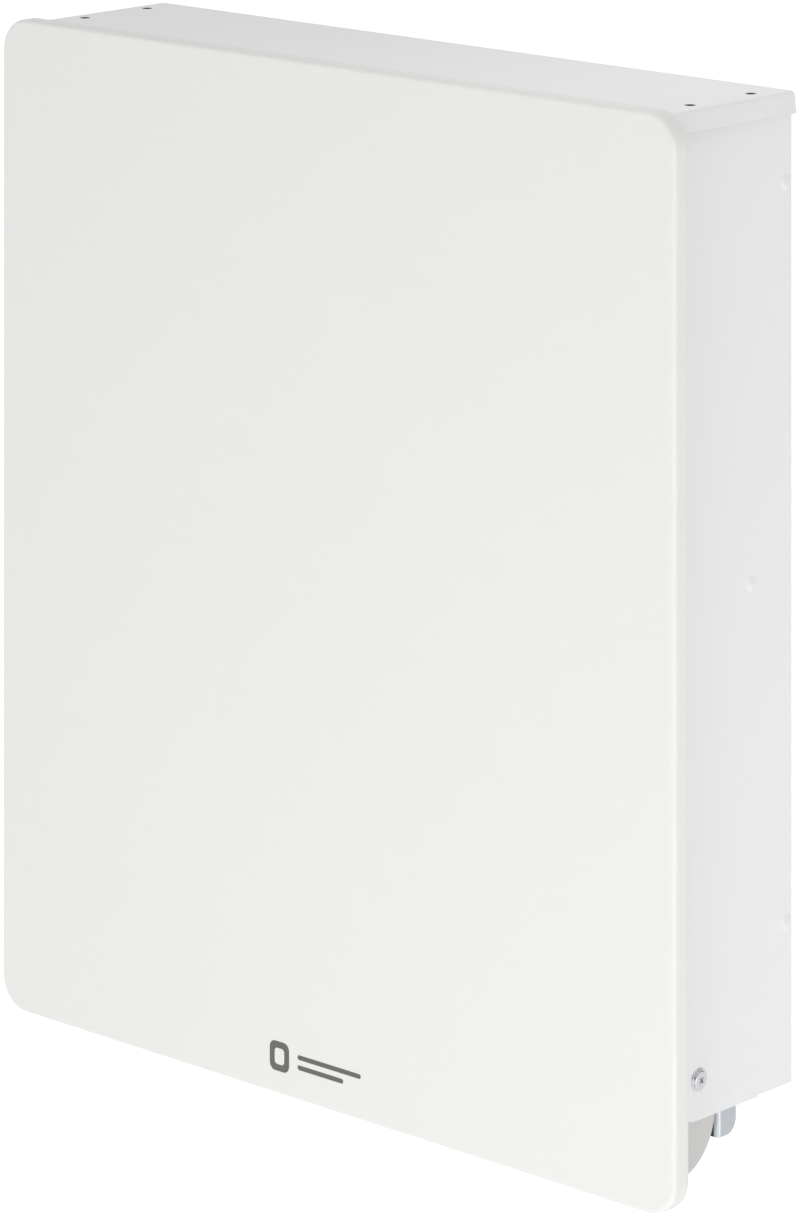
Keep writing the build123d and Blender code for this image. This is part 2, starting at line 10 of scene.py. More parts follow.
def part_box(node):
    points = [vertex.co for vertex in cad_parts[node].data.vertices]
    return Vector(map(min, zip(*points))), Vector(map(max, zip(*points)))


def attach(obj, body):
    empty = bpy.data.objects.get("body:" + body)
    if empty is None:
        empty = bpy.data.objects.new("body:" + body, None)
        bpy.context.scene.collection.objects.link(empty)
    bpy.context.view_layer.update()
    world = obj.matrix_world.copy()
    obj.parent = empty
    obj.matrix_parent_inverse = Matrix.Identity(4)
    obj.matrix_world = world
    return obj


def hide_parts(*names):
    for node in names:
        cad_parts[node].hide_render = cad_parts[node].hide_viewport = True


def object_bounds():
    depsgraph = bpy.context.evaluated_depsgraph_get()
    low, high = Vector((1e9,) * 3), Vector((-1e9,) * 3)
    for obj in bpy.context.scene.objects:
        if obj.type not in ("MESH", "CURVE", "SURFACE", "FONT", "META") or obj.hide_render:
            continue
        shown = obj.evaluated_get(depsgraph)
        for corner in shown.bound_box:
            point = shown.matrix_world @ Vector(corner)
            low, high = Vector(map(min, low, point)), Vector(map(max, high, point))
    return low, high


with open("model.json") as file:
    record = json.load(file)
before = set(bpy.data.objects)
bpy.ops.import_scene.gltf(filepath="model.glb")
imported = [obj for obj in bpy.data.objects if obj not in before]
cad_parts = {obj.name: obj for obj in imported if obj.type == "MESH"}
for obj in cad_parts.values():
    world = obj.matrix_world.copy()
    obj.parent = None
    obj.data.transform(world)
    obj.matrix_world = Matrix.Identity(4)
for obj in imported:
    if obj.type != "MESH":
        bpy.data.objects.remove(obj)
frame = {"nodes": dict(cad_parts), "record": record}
cad_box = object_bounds()
nodes = frame["nodes"]

# Lengths are in metres, in the CAD frame: +Z is up, -Y is the front.
# A texture's scale grows with the number of its features per metre.
MM = 0.001

# Most values of a noise texture lie between these two.
NOISE_LOW = 0.3
NOISE_HIGH = 0.7
LEAST_ROUGHNESS = 0.02

# Pointiness is 0.5 on a flat face and rises on an outward edge.
WEAR_START = 0.53
WEAR_FULL = 0.62


def shade(colour, factor):
    """The colour, darker for a factor below 1 and lighter above it."""
    return tuple(c * factor for c in colour)


# Node helpers ---------------------------------------------------------------

class Shader:
    """A principled material with short calls for the nodes that feed it."""

    def __init__(self, name, colour, roughness, metallic=0.0):
        self.material = bpy.data.materials.new(name)
        self.material.use_nodes = True
        self.nodes = self.material.node_tree.nodes
        self.links = self.material.node_tree.links
        self.bsdf = self.nodes["Principled BSDF"]
        self.bsdf.inputs["Base Color"].default_value = (*colour, 1.0)
        self.bsdf.inputs["Roughness"].default_value = roughness
        self.bsdf.inputs["Metallic"].default_value = metallic
        self.colour = colour
        self.roughness = roughness
        self.place = self.nodes.new("ShaderNodeTexCoord").outputs["Object"]

    def set(self, **values):
        """Sets inputs of the principled shader by name."""
        for key, value in values.items():
            self.bsdf.inputs[key.replace("_", " ").title()].default_value = value
        return self

    def stretched(self, scale):
        """Object coordinates scaled on each axis, so that a pattern runs along an axis."""
        mapping = self.nodes.new("ShaderNodeMapping")
        mapping.inputs["Scale"].default_value = scale
        self.links.new(self.place, mapping.inputs["Vector"])
        return mapping.outputs["Vector"]

    def noise(self, scale, detail=3.0, vector=None):
        """Soft cloudy noise."""
        node = self.nodes.new("ShaderNodeTexNoise")
        node.inputs["Scale"].default_value = scale
        node.inputs["Detail"].default_value = detail
        self.links.new(vector or self.place, node.inputs["Vector"])
        return node.outputs["Fac"]

    def wave(self, scale, direction):
        """Even bands across one axis."""
        node = self.nodes.new("ShaderNodeTexWave")
        node.bands_direction = direction
        node.inputs["Scale"].default_value = scale
        self.links.new(self.place, node.inputs["Vector"])
        return node.outputs["Fac"]

    def cells(self, scale):
        """Irregular cells: zero on their borders and high in their middles."""
        node = self.nodes.new("ShaderNodeTexVoronoi")
        node.feature = "DISTANCE_TO_EDGE"
        node.inputs["Scale"].default_value = scale
        self.links.new(self.place, node.inputs["Vector"])
        return node.outputs["Distance"]

    def ranged(self, socket, low, high, start=0.0, stop=1.0):
        """Low where the socket is at start, high where it is at stop."""
        node = self.nodes.new("ShaderNodeMapRange")
        node.inputs["From Min"].default_value = start
        node.inputs["From Max"].default_value = stop
        node.inputs["To Min"].default_value = low
        node.inputs["To Max"].default_value = high
        self.links.new(socket, node.inputs["Value"])
        return node.outputs["Result"]

    def math(self, operation, a, b):
        """A sum on two values, each a number or a socket."""
        node = self.nodes.new("ShaderNodeMath")
        node.operation = operation
        for index, value in enumerate((a, b)):
            if isinstance(value, (int, float)):
                node.inputs[index].default_value = value
            else:
                self.links.new(value, node.inputs[index])
        return node.outputs["Value"]

    def tint(self, socket, other, share):
        """Moves the base colour towards other where socket is high."""
        mix = self.nodes.new("ShaderNodeMix")
        mix.data_type = "RGBA"
        mix.inputs["A"].default_value = (*self.colour, 1.0)
        mix.inputs["B"].default_value = (*other, 1.0)
        old = self.bsdf.inputs["Base Color"]
        if old.is_linked:
            self.links.new(old.links[0].from_socket, mix.inputs["A"])
        self.links.new(self.ranged(socket, 0.0, share), mix.inputs["Factor"])
        self.links.new(mix.outputs["Result"], old)
        return self

    def rough(self, socket, spread):
        """Varies the roughness by the spread, both ways."""
        low = max(self.roughness - spread, LEAST_ROUGHNESS)
        varied = self.ranged(socket, low, self.roughness + spread, NOISE_LOW, NOISE_HIGH)
        self.links.new(varied, self.bsdf.inputs["Roughness"])
        return self

    def bump(self, socket, depth, strength):
        """Lifts the shading where the socket is high."""
        node = self.nodes.new("ShaderNodeBump")
        node.inputs["Distance"].default_value = depth
        node.inputs["Strength"].default_value = strength
        normal = self.bsdf.inputs["Normal"]
        if normal.is_linked:
            self.links.new(normal.links[0].from_socket, node.inputs["Normal"])
        self.links.new(socket, node.inputs["Height"])
        self.links.new(node.outputs["Normal"], normal)
        return self

    def soft_edges(self, radius):
        """Rounds sharp edges in the shading, as paint and pressing do."""
        node = self.nodes.new("ShaderNodeBevel")
        node.samples = 4
        node.inputs["Radius"].default_value = radius
        self.links.new(node.outputs["Normal"], self.bsdf.inputs["Normal"])
        return self

    def edge_wear(self, other, share):
        """Shows other where the surface turns sharply outwards."""
        point = self.nodes.new("ShaderNodeNewGeometry").outputs["Pointiness"]
        worn = self.ranged(point, 0.0, 1.0, WEAR_START, WEAR_FULL)
        patches = self.ranged(self.noise(60.0), 0.0, 1.0, start=0.45, stop=0.6)
        return self.tint(self.math("MULTIPLY", worn, patches), other, share)

    def dim_band(self, low, middle, high, other, share):
        """Shows other where bright metal would mirror the unlit part of the studio."""
        split = self.nodes.new("ShaderNodeSeparateXYZ")
        reflected = self.nodes.new("ShaderNodeTexCoord").outputs["Reflection"]
        self.links.new(reflected, split.inputs["Vector"])
        rise = split.outputs["Z"]
        below = self.ranged(rise, 0.0, 1.0, low, middle)
        above = self.ranged(rise, 1.0, 0.0, middle, high)
        return self.tint(self.math("MULTIPLY", below, above), other, share)


# Materials ------------------------------------------------------------------

def lacquer(name, colour):
    """Satin white lacquer on the board: faint peel, faint cloudy tone."""
    s = Shader(name, colour, roughness=0.55)
    s.set(coat_weight=0.04, coat_roughness=0.3)
    s.tint(s.noise(2.2), shade(colour, 0.985), share=1.0)
    s.rough(s.noise(9.0), spread=0.04)
    s.bump(s.noise(420.0, detail=2.0), depth=0.03 * MM, strength=0.5)
    return s.material


def powder_coat(name, colour, grain=900.0):
    """Baked powder coat on sheet steel: fine orange peel, thin wear on softly rounded edges."""
    s = Shader(name, colour, roughness=0.46)
    s.soft_edges(0.5 * MM)
    s.tint(s.noise(1.3, detail=1.0), shade(colour, 0.992), share=1.0)
    s.edge_wear(shade(colour, 0.95), share=0.35)
    s.rough(s.noise(14.0), spread=0.04)
    s.bump(s.noise(grain, detail=2.0), depth=0.04 * MM, strength=0.5)
    return s.material


def zinc(name, colour):
    """Bright zinc plate: cool grey with faint rolling lines and cloudy passivation."""
    s = Shader(name, colour, roughness=0.42, metallic=0.75)
    s.soft_edges(0.7 * MM)
    s.tint(s.noise(45.0), shade(colour, 0.88), share=0.7)
    clouds = s.noise(120.0, vector=s.stretched((1.0, 1.0, 0.15)))
    s.rough(clouds, spread=0.09)
    lines = s.noise(600.0, vector=s.stretched((1.0, 1.0, 0.05)))
    s.bump(lines, depth=0.03 * MM, strength=0.5)
    return s.material


def polished(name, colour):
    """Polished plate on bolts, rods and rails: slightly cloudy, with a dark band as a studio gives."""
    s = Shader(name, colour, roughness=0.27, metallic=0.75)
    s.soft_edges(0.35 * MM)
    s.tint(s.noise(70.0), shade(colour, 0.85), share=0.5)
    s.dim_band(low=0.05, middle=0.35, high=0.75, other=(0.09, 0.09, 0.10), share=0.9)
    s.rough(s.noise(260.0), spread=0.04)
    s.bump(s.noise(300.0), depth=0.004 * MM, strength=0.3)
    return s.material


def oxide(name, colour):
    """Dark oxide on small screws and magnets."""
    s = Shader(name, colour, roughness=0.5, metallic=0.8)
    s.tint(s.noise(300.0), shade(colour, 1.7), share=0.6)
    s.rough(s.noise(400.0), spread=0.12)
    return s.material


def moulded(name, colour, roughness=0.45):
    """Moulded plastic with a fine spark-eroded grain."""
    s = Shader(name, colour, roughness)
    s.soft_edges(0.4 * MM)
    s.tint(s.noise(20.0), shade(colour, 0.95), share=0.8)
    s.rough(s.noise(200.0), spread=0.07)
    s.bump(s.noise(2600.0, detail=2.0), depth=0.05 * MM, strength=0.6)
    return s.material


def rubber(name, colour):
    """Dull moulded rubber with a coarse grain."""
    s = Shader(name, colour, roughness=0.8)
    s.tint(s.noise(150.0), shade(colour, 1.5), share=0.5)
    s.rough(s.noise(300.0), spread=0.08)
    s.bump(s.noise(1500.0), depth=0.08 * MM, strength=0.7)
    return s.material


def soft_vinyl(name, colour):
    """Wipe-clean vinyl: pebbled grain in irregular cells, slight sheen."""
    s = Shader(name, colour, roughness=0.48)
    s.set(sheen_weight=0.08, coat_weight=0.06)
    s.tint(s.noise(6.0), shade(colour, 0.955), share=0.9)
    grain = s.math("ADD", s.cells(520.0), s.math("MULTIPLY", s.noise(900.0), 0.35))
    s.rough(s.noise(30.0), spread=0.06)
    s.bump(grain, depth=0.35 * MM, strength=0.5)
    return s.material


def webbing(name, colour):
    """Woven strap: narrow warp ribs crossed by weft, with painted shade in the hollows between them.
    """
    s = Shader(name, colour, roughness=0.75)
    s.set(sheen_weight=0.3)
    ribs = s.wave(140.0, "Z")
    weft = s.wave(220.0, "X")
    weave = s.math("MAXIMUM", ribs, s.math("MULTIPLY", weft, 0.7))
    # Painted shade: the colour darkens where the weave is low, in the hollows between the threads.
    s.tint(s.ranged(weave, 1.0, 0.0), shade(colour, 0.72), share=0.8)
    s.bump(weave, depth=0.3 * MM, strength=0.8)
    return s.material


def print_ink(name, colour):
    """Screen-printed ink, slightly uneven."""
    s = Shader(name, colour, roughness=0.5)
    s.tint(s.noise(500.0), shade(colour, 1.25), share=0.7)
    s.rough(s.noise(300.0), spread=0.08)
    return s.material


MATERIALS = {
    "flap_paint": lacquer("flap_lacquer", (0.792, 0.792, 0.772)),
    "box_paint": powder_coat("box_powder_coat", (0.832, 0.834, 0.838)),
    # The grey bracket coat is painted shade: these brackets sit in the shadow under the box, and their
    # coat takes the grey of that shadow in place of the white box paint.
    "grey_paint": powder_coat("bracket_coat_painted_shade", (0.60, 0.60, 0.59)),
    "strut_paint": powder_coat("strut_black_paint", (0.045, 0.046, 0.05), grain=1400.0),
    "zinc_steel": zinc("zinc_plate", (0.63, 0.66, 0.695)),
    "chrome_steel": polished("polished_plate", (0.8, 0.8, 0.83)),
    "dark_steel": oxide("dark_oxide", (0.045, 0.045, 0.05)),
    "bearing_plastic": moulded("natural_nylon", (0.74, 0.73, 0.69)),
    "catch_plastic": moulded("white_plastic", (0.80, 0.80, 0.79)),
    "buckle_plastic": moulded("buckle_plastic", (0.30, 0.31, 0.32), roughness=0.38),
    "rubber_pad": rubber("black_rubber", (0.03, 0.03, 0.032)),
    "mat_cover": soft_vinyl("mat_vinyl", (0.70, 0.745, 0.755)),
    "strap_fabric": webbing("strap_webbing", (0.36, 0.38, 0.40)),
    "mat_piping": soft_vinyl("mat_piping", (0.50, 0.56, 0.58)),
    "thread": webbing("thread", (0.40, 0.45, 0.47)),
    "mark_ink": print_ink("mark_ink", (0.115, 0.115, 0.105)),
}


def dress_cad():
    """Gives every CAD node the material of its slot in the record."""
    for part in frame["record"]["subparts"]:
        target = nodes[part["node"]]
        material = MATERIALS[part["material_slot"]]
        if target.material_slots:
            for slot in target.material_slots:
                slot.material = material
        else:
            target.data.materials.append(material)


# Mesh helpers ---------------------------------------------------------------

def shade_smooth(mesh):
    for polygon in mesh.polygons:
        polygon.use_smooth = True


def face_outwards(mesh):
    """Turns every face of a closed mesh to the outside."""
    work = bmesh.new()
    work.from_mesh(mesh)
    bmesh.ops.recalc_face_normals(work, faces=work.faces)
    work.to_mesh(mesh)
    work.free()


def on_flap(made, replaced=None):
    """Lets a soft piece ride on the flap, in place of a CAD node if one is named."""
    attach(made, "flap")
    if replaced:
        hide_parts(replaced)


def mesh_object(name, verts, faces, material, smooth=True):
    """A mesh from its points and faces, in one material."""
    mesh = bpy.data.meshes.new(name)
    mesh.from_pydata(verts, [], faces)
    mesh.validate()
    made = bpy.data.objects.new(name, mesh)
    bpy.context.scene.collection.objects.link(made)
    made.data.materials.append(material)
    if smooth:
        shade_smooth(mesh)
    return made


def applied(made):
    """Bakes the modifiers and curve settings of an object into a plain mesh object."""
    graph = bpy.context.evaluated_depsgraph_get()
    mesh = bpy.data.meshes.new_from_object(made.evaluated_get(graph))
    baked = bpy.data.objects.new(made.name, mesh)
    bpy.context.scene.collection.objects.link(baked)
    baked.matrix_world = made.matrix_world.copy()
    name = made.name
    bpy.data.objects.remove(made)
    baked.name = name
    return baked


# Stands a drawing made in X and Y upright, so that it faces the front.
UPRIGHT = Matrix(((1, 0, 0), (0, 0, -1), (0, 1, 0))).to_4x4()
THINNEST = 1e-5
SMOOTH_RINGS = 3


def moulding(name, loops, depth, round_edge, material, place):
    """An upright flat shape with round edges. The first loop is its outline, the others are holes."""
    curve = bpy.data.curves.new(name, "CURVE")
    curve.dimensions = "2D"
    curve.fill_mode = "BOTH"
    curve.extrude = max(depth / 2 - round_edge, THINNEST)
    curve.bevel_depth = round_edge
    curve.bevel_resolution = SMOOTH_RINGS
    curve.offset = -round_edge
    for loop in loops:
        spline = curve.splines.new("POLY")
        spline.points.add(len(loop) - 1)
        for point, (u, v) in zip(spline.points, loop):
            point.co = (u, v, 0.0, 1.0)
        spline.use_cyclic_u = True
    made = bpy.data.objects.new(name, curve)
    bpy.context.scene.collection.objects.link(made)
    made = applied(made)
    made.data.transform(Matrix.Translation(place) @ UPRIGHT)
    made.data.materials.clear()
    made.data.materials.append(material)
    for polygon in made.data.polygons:
        polygon.material_index = 0
    shade_smooth(made.data)
    return made


def round_box(width, height, radius, centre=(0.0, 0.0), steps=6):
    """The outline of a rectangle with round corners."""
    loop = []
    corners = ((1, 1, 0), (-1, 1, 90), (-1, -1, 180), (1, -1, 270))
    for side_u, side_v, start in corners:
        u = centre[0] + side_u * (width / 2 - radius)
        v = centre[1] + side_v * (height / 2 - radius)
        for step in range(steps + 1):
            angle = math.radians(start + 90.0 * step / steps)
            loop.append((u + radius * math.cos(angle), v + radius * math.sin(angle)))
    return loop


def tube(name, points, radius, material, closed=False):
    """A round cord through the points, which smooths the corners between them."""
    curve = bpy.data.curves.new(name, "CURVE")
    curve.dimensions = "3D"
    curve.bevel_depth = radius
    curve.bevel_resolution = SMOOTH_RINGS
    curve.resolution_u = 4
    spline = curve.splines.new("NURBS")
    spline.points.add(len(points) - 1)
    for point, spot in zip(spline.points, points):
        point.co = (*spot, 1.0)
    spline.use_cyclic_u = closed
    spline.use_endpoint_u = not closed
    spline.order_u = 3
    made = bpy.data.objects.new(name, curve)
    bpy.context.scene.collection.objects.link(made)
    curve.materials.append(material)
    curve.use_fill_caps = True
    return applied(made)


# Changing mat ---------------------------------------------------------------

MAT_LO, MAT_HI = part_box("changing_mat")
MAT_EDGE = MAT_HI.x
MAT_CREST = MAT_HI.y
MAT_FOOT = MAT_LO.y
MAT_BASE = MAT_FOOT + 24 * MM
SEAM_X = MAT_EDGE - 70 * MM
SEAM_CORD = 1.5 * MM
WELT_CORD = 1.7 * MM

# The soft pads: the size of their mesh, how far cloth may move, and the foot that is held down.
VOXEL = 6 * MM
SIDE_SWELL = 5 * MM
CENTRE_SWELL = 9 * MM
PRESSURE = 4.0
CLOTH_FRAMES = 20
SKIRT = 2 * MM

# The sewn channels: a wide hollow that the cloth starts from, and a narrow valley at the stitches.
HOLLOW_DEPTH = 7 * MM
HOLLOW_REACH = 12 * MM
CREASE_DEPTH = 5 * MM
CREASE_SPREAD = 4 * MM
SEWN_REACH = 3.5 * MM

# A raised side, in shares of its width: it climbs up to the first and turns down from the second.
CLIMB_END = 0.62
SHOULDER_START = 0.78
SHOULDER_WIDTH = 0.22
SHOULDER_DROP = 0.5
PROFILE_STEPS = 20

STITCH_PITCH = 7 * MM
STITCH_LENGTH = 4.6 * MM
STITCH_WIDTH = 1.2 * MM
STITCH_HEIGHT = 0.7 * MM
STITCH_SUNK = 0.3 * MM


def prism(name, section, low, high, material):
    """A solid with a section drawn in X and Y, standing between two heights."""
    count = len(section)
    verts = [(x, y, low) for x, y in section] + [(x, y, high) for x, y in section]
    faces = [tuple(range(count)), tuple(range(2 * count - 1, count - 1, -1))]
    for i in range(count):
        j = (i + 1) % count
        faces.append((i, i + count, j + count, j))
    made = mesh_object(name, verts, faces, material)
    face_outwards(made.data)
    return made


def remeshed(made):
    """The same solid with an even mesh that cloth can bend."""
    modifier = made.modifiers.new("skin", "REMESH")
    modifier.mode = "VOXEL"
    modifier.voxel_size = VOXEL
    modifier.use_smooth_shade = True
    return applied(made)


def inflate(made, held, cap):
    """Blows the pad up with cloth simulation. Held points stay, and no point moves past the cap."""
    rest = [v.co.copy() for v in made.data.vertices]
    group = made.vertex_groups.new(name="held")
    for index, spot in enumerate(rest):
        weight = held(spot)
        if weight > 0:
            group.add([index], weight, "REPLACE")
    cloth = made.modifiers.new("cloth", "CLOTH")
    cloth.settings.quality = 4
    cloth.settings.mass = 0.3
    cloth.settings.vertex_group_mass = "held"
    cloth.settings.use_pressure = True
    cloth.settings.uniform_pressure_force = PRESSURE
    cloth.settings.effector_weights.gravity = 0.0
    cloth.collision_settings.use_self_collision = False
    scene = bpy.context.scene
    for step in range(1, CLOTH_FRAMES + 1):
        scene.frame_set(step)
    graph = bpy.context.evaluated_depsgraph_get()
    moved = made.evaluated_get(graph).data
    spots = []
    for before, vertex in zip(rest, moved.vertices):
        shift = vertex.co - before
        if shift.length > cap:
            shift = shift * (cap / shift.length)
        spots.append(before + shift)
    made.modifiers.clear()
    for vertex, spot in zip(made.data.vertices, spots):
        vertex.co = spot
    scene.frame_set(1)
    return made


def finish_pad(made):
    """Smooths a pad, keeps it off the flap board and lets it ride on the flap."""
    modifier = made.modifiers.new("smooth", "SUBSURF")
    modifier.levels = 1
    modifier.render_levels = 1
    made = applied(made)
    for vertex in made.data.vertices:
        vertex.co.y = max(vertex.co.y, MAT_FOOT)
    shade_smooth(made.data)
    on_flap(made)
    return made


def centre_pad():
    """The flat middle of the mat, held down along its edges and two sewn channels."""
    gap = 3 * MM
    low, high = MAT_LO.z + gap, MAT_HI.z - gap
    top = MAT_BASE - gap
    section = [(-SEAM_X, MAT_FOOT), (-SEAM_X, top), (SEAM_X, top), (SEAM_X, MAT_FOOT)]
    pad = remeshed(prism("mat_centre", section, low, high, MATERIALS["mat_cover"]))
    round_ends(pad, low, high, reach=20 * MM, drop=0.3)
    third = (high - low) / 3
    channels = (low + third, low + 2 * third)

    def held(spot):
        if spot.y < MAT_FOOT + SKIRT or abs(spot.x) > SEAM_X - 4 * MM:
            return 1.0
        return 1.0 if from_channel(spot, channels) < SEWN_REACH else 0.0

    for vertex in pad.data.vertices:
        near = from_channel(vertex.co, channels)
        if vertex.co.y > MAT_FOOT + 6 * MM and near < HOLLOW_REACH:
            vertex.co.y -= HOLLOW_DEPTH * (1 - near / HOLLOW_REACH) ** 2
    pad = finish_pad(inflate(pad, held, CENTRE_SWELL))
    crease(pad, channels)
    return pad, channels


def from_channel(spot, channels):
    """How far a place lies from the nearest sewn channel."""
    return min(abs(spot.z - line) for line in channels)


def bolster_profile(share):
    """Height from the seam at 0 to the outer edge at 1, as a share of the full rise."""
    slope = min(share / CLIMB_END, 1.0)
    shoulder = max(share - SHOULDER_START, 0.0) / SHOULDER_WIDTH
    turned_down = SHOULDER_DROP * (1 - math.sqrt(1 - shoulder * shoulder))
    return slope * slope * (3 - 2 * slope) - turned_down


def round_ends(pad, low, high, reach, drop):
    """Lowers the skin towards the two ends of a pad in a quarter-round."""
    for vertex in pad.data.vertices:
        away = min(vertex.co.z - low, high - vertex.co.z)
        near = 1.0 - min(max(away / reach, 0.0), 1.0)
        kept = 1.0 - drop * (1.0 - math.sqrt(1.0 - near * near))
        vertex.co.y = MAT_FOOT + (vertex.co.y - MAT_FOOT) * kept


def crease(pad, channels):
    """Pulls the cover down in a narrow valley along each sewn channel."""
    for vertex in pad.data.vertices:
        near = from_channel(vertex.co, channels)
        if vertex.co.y > MAT_FOOT + 8 * MM:
            vertex.co.y -= CREASE_DEPTH * math.exp(-((near / CREASE_SPREAD) ** 2))


def bolster(side):
    """A raised side of the mat: a wedge that slopes down to the centre."""
    low, high = MAT_LO.z + 2 * MM, MAT_HI.z - 2 * MM
    inner, outer = SEAM_X + 1 * MM, MAT_EDGE - 3 * MM
    seam_height = MAT_BASE - 5 * MM
    rise = MAT_CREST - SIDE_SWELL - seam_height
    section = [(side * inner, MAT_FOOT)]
    for step in range(PROFILE_STEPS + 1):
        share = step / PROFILE_STEPS
        x = inner + (outer - inner) * share
        section.append((side * x, seam_height + rise * bolster_profile(share)))
    section.append((side * outer, MAT_FOOT))
    name = "mat_side_right" if side > 0 else "mat_side_left"
    pad = remeshed(prism(name, section, low, high, MATERIALS["mat_cover"]))
    round_ends(pad, low, high, reach=26 * MM, drop=0.45)

    def held(spot):
        near_seam = abs(spot.x) < SEAM_X + 5 * MM
        return 1.0 if spot.y < MAT_FOOT + SKIRT or near_seam else 0.0

    return finish_pad(inflate(pad, held, SIDE_SWELL))


def surface_height(x, z, skins):
    """How far the mat's skin stands out at a place on the flap."""
    best = MAT_FOOT
    for skin in skins:
        hit, spot, _, _ = skin.ray_cast((x, 0.0, z), (0.0, -1.0, 0.0))
        if hit:
            best = max(best, spot.y)
    return best


def add_piping(skins):
    """Cord sewn round the mat and along both seams beside the centre."""
    low, high = MAT_LO.z + 4 * MM, MAT_HI.z - 4 * MM
    material = MATERIALS["mat_piping"]
    steps = 40
    for side, label in ((1, "right"), (-1, "left")):
        x = side * (SEAM_X + 1 * MM)
        line = []
        for step in range(steps + 1):
            z = low + (high - low) * step / steps
            line.append((x, surface_height(x, z, skins) + 0.6 * MM, z))
        on_flap(tube(f"mat_seam_{label}", line, SEAM_CORD, material))
    edge = MAT_EDGE - 1.0 * MM
    loop = []
    for u, v in round_box(2 * edge, MAT_HI.z - MAT_LO.z - 2 * MM, 16 * MM, steps=8):
        loop.append((u, MAT_FOOT + 9 * MM, v + (MAT_HI.z + MAT_LO.z) / 2))
    on_flap(tube("mat_welt", loop, WELT_CORD, material, closed=True))


def add_stitches(channels, skins):
    """Short thread stitches along the two sewn channels across the centre."""
    verts, faces = [], []
    margin = 8 * MM
    for line in channels:
        x = -SEAM_X + margin
        while x < SEAM_X - margin:
            add_stitch(verts, faces, x, surface_height(x, line, skins), line)
            x += STITCH_PITCH
    on_flap(mesh_object("mat_stitches", verts, faces, MATERIALS["thread"]))


def add_stitch(verts, faces, x, y, z):
    """One stitch: a low ridge of three-point rings that dips into the cover at both ends."""
    first = len(verts)
    shares = (-1.0, -0.6, 0.0, 0.6, 1.0)
    for share in shares:
        spot = x + share * STITCH_LENGTH / 2
        rise = STITCH_HEIGHT * (1 - share * share)
        spread = STITCH_WIDTH / 2 * (1 - 0.6 * share * share)
        verts.append((spot, y - STITCH_SUNK, z - spread))
        verts.append((spot, y + rise, z))
        verts.append((spot, y - STITCH_SUNK, z + spread))
    for ring in range(len(shares) - 1):
        for k in range(3):
            a = first + ring * 3 + k
            b = first + ring * 3 + (k + 1) % 3
            faces.append((a, b, b + 3, a + 3))
    last = len(verts) - 3
    faces.append((first + 2, first + 1, first))
    faces.append((last, last + 1, last + 2))


def add_mat():
    """The whole mat, which takes the place of its CAD block. Returns the three pads."""
    pad, channels = centre_pad()
    sides = [bolster(1), bolster(-1)]
    skins = [pad] + sides
    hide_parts("changing_mat")
    add_piping(skins)
    add_stitches(channels, skins)
    return skins


# Strap and buckle -----------------------------------------------------------

STRAP_LO, STRAP_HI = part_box("strap_webbing_right")
STRAP_Z = (STRAP_LO.z + STRAP_HI.z) / 2
STRAP_WIDTH = STRAP_HI.z - STRAP_LO.z
STRAP_STEP = 6 * MM
STRAP_LIFT = 1.2 * MM
WEB = 1.6 * MM

# Across the strap: places from edge to edge, and the thickness there as a share of WEB.
WEB_ROWS = (-1.0, -0.94, -0.86, 0.0, 0.86, 0.94, 1.0)
WEB_THICK = (0.5, 1.0, 0.75, 0.75, 0.75, 1.0, 0.5)

BUCKLE_LO, BUCKLE_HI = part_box("buckle_socket")
BUCKLE_EDGE = max(abs(BUCKLE_LO.x), abs(BUCKLE_HI.x))
BUCKLE_FEET = 20 * MM


def strap_path(side, skins):
    """Points in X and Y from the anchor over the raised side to the buckle."""
    outside = MAT_EDGE + 1.5 * MM
    path = [(outside, MAT_FOOT + 3 * MM), (outside + 0.8 * MM, MAT_FOOT + 20 * MM)]
    x = outside - 2 * MM
    while x > BUCKLE_EDGE + STRAP_STEP:
        rows = (-0.4, 0.0, 0.4)
        y = max(surface_height(side * x, STRAP_Z + row * STRAP_WIDTH, skins) for row in rows)
        path.append((x, y + STRAP_LIFT))
        x -= STRAP_STEP
    entry = buckle_middle(skins) - WEB / 2
    for inside in (0.0, 3 * MM, 6 * MM):
        path.append((BUCKLE_EDGE - inside, entry))
    return smooth_path(path)


def buckle_middle(skins):
    """How far the middle of the buckle stands out, resting on the centre of the mat."""
    places = (-BUCKLE_FEET, 0.0, BUCKLE_FEET)
    seat = max(surface_height(x, STRAP_Z, skins) for x in places)
    return seat + (BUCKLE_HI.y - BUCKLE_LO.y) / 2 + 1.0 * MM


def smooth_path(path):
    """Rounds the bends of the strap without letting it sink into the mat."""
    for _ in range(3):
        inner = [
            ((a[0] + 2 * b[0] + c[0]) / 4, max(b[1], (a[1] + 2 * b[1] + c[1]) / 4))
            for a, b, c in zip(path, path[1:], path[2:])
        ]
        path = [path[0]] + inner + [path[-1]]
    return path


def strap_points(side, path):
    """Pairs of points, outer and inner, in rows across the strap at each place of its path."""
    verts = []
    for i, (x, y) in enumerate(path):
        before, after = path[max(i - 1, 0)], path[min(i + 1, len(path) - 1)]
        along = Vector((after[0] - before[0], after[1] - before[1])).normalized()
        out = Vector((along.y, -along.x))
        if out.y < 0 and abs(out.y) > 0.2 or out.x < 0 and abs(out.y) <= 0.2:
            out = -out
        for row, share in zip(WEB_ROWS, WEB_THICK):
            z = STRAP_Z + row * STRAP_WIDTH / 2
            half = share * WEB / 2
            for sign in (1, -1):
                spot = Vector((x, y)) + out * (WEB / 2 + sign * half)
                verts.append((side * spot.x, spot.y, z))
    return verts


